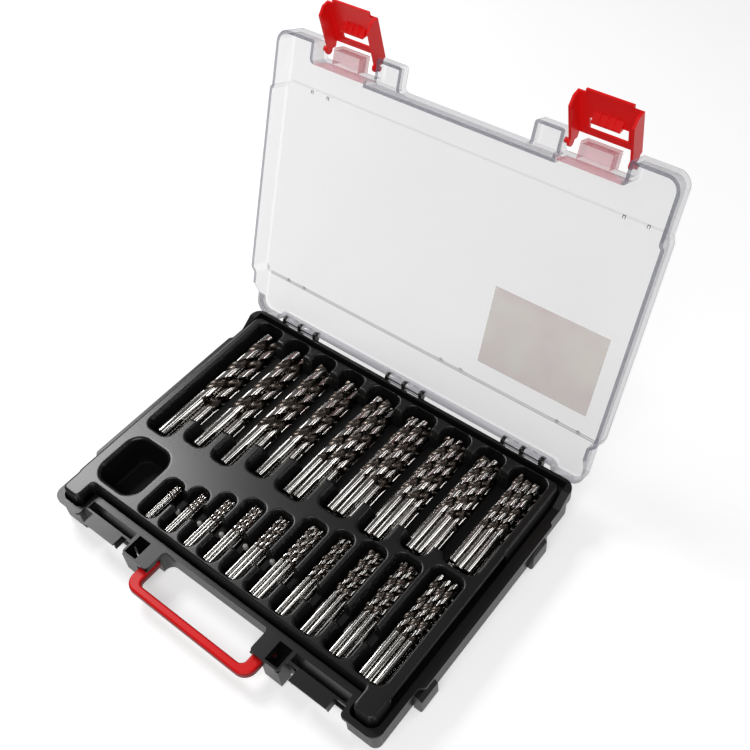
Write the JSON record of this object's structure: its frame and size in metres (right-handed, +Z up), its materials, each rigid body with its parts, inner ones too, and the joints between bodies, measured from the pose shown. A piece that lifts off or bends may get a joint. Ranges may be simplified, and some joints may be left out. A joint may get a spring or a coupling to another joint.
{
  "type": "drill bit case",
  "caption": "Flat carry case with a hinged clear lid, two snap latches, a folding handle and a tray of twist drill bits sorted by size.",
  "frame": {"origin": "centre of the base's resting face, under the middle of the base's side walls", "axes": "+X to the right along the hinge, +Y to the back where the hinge is, +Z up"},
  "size_m": [0.3384, 0.3583, 0.2942],
  "materials": {
    "base_plastic": "fine satin",
    "tray_plastic": "soft sheen",
    "clear_plastic": "clear gloss",
    "red_plastic": "satin gloss",
    "handle_plastic": "satin gloss",
    "label_film": "matt film",
    "polished_steel": "bright ground"
  },
  "bodies": {
    "base": {"base_shell": "base_plastic", "bit_tray": "tray_plastic", "drill_bits_10_0_mm": "polished_steel", "drill_bits_9_5_mm": "polished_steel", "drill_bits_9_0_mm": "polished_steel", "drill_bits_8_5_mm": "polished_steel", "drill_bits_8_0_mm": "polished_steel", "drill_bits_7_5_mm": "polished_steel", "drill_bits_7_0_mm": "polished_steel", "drill_bits_6_5_mm": "polished_steel", "drill_bits_6_0_mm": "polished_steel", "drill_bits_1_0_mm": "polished_steel", "drill_bits_1_5_mm": "polished_steel", "drill_bits_2_0_mm": "polished_steel", "drill_bits_2_5_mm": "polished_steel", "drill_bits_3_0_mm": "polished_steel", "drill_bits_3_5_mm": "polished_steel", "drill_bits_4_0_mm": "polished_steel", "drill_bits_4_5_mm": "polished_steel", "drill_bits_5_0_mm": "polished_steel", "drill_bits_5_5_mm": "polished_steel"},
    "lid": {"clear_lid": "clear_plastic", "lid_label": "label_film"},
    "latch_left": {"latch_left": "red_plastic"},
    "latch_right": {"latch_right": "red_plastic"},
    "handle": {"carry_handle": "handle_plastic"}
  },
  "joints": [
    {"name": "lid_hinge", "type": "hinge", "parent": "base", "child": "lid", "pos_m": [0, 0.123, 0.03515], "axis": [1, 0, 0], "range_deg": [0, 110.5]},
    {"name": "latch_left_pivot", "type": "hinge", "parent": "lid", "child": "latch_left", "pos_m": [-0.1045, 0.21002, 0.25404], "axis": [1, 0, 0], "range_deg": [0, 60]},
    {"name": "latch_right_pivot", "type": "hinge", "parent": "lid", "child": "latch_right", "pos_m": [0.1045, 0.21002, 0.25404], "axis": [1, 0, 0], "range_deg": [0, 60]},
    {"name": "handle_pivot", "type": "hinge", "parent": "base", "child": "handle", "pos_m": [0, -0.1106, 0.0155], "axis": [1, 0, 0], "range_deg": [0, 25]}
  ]
}
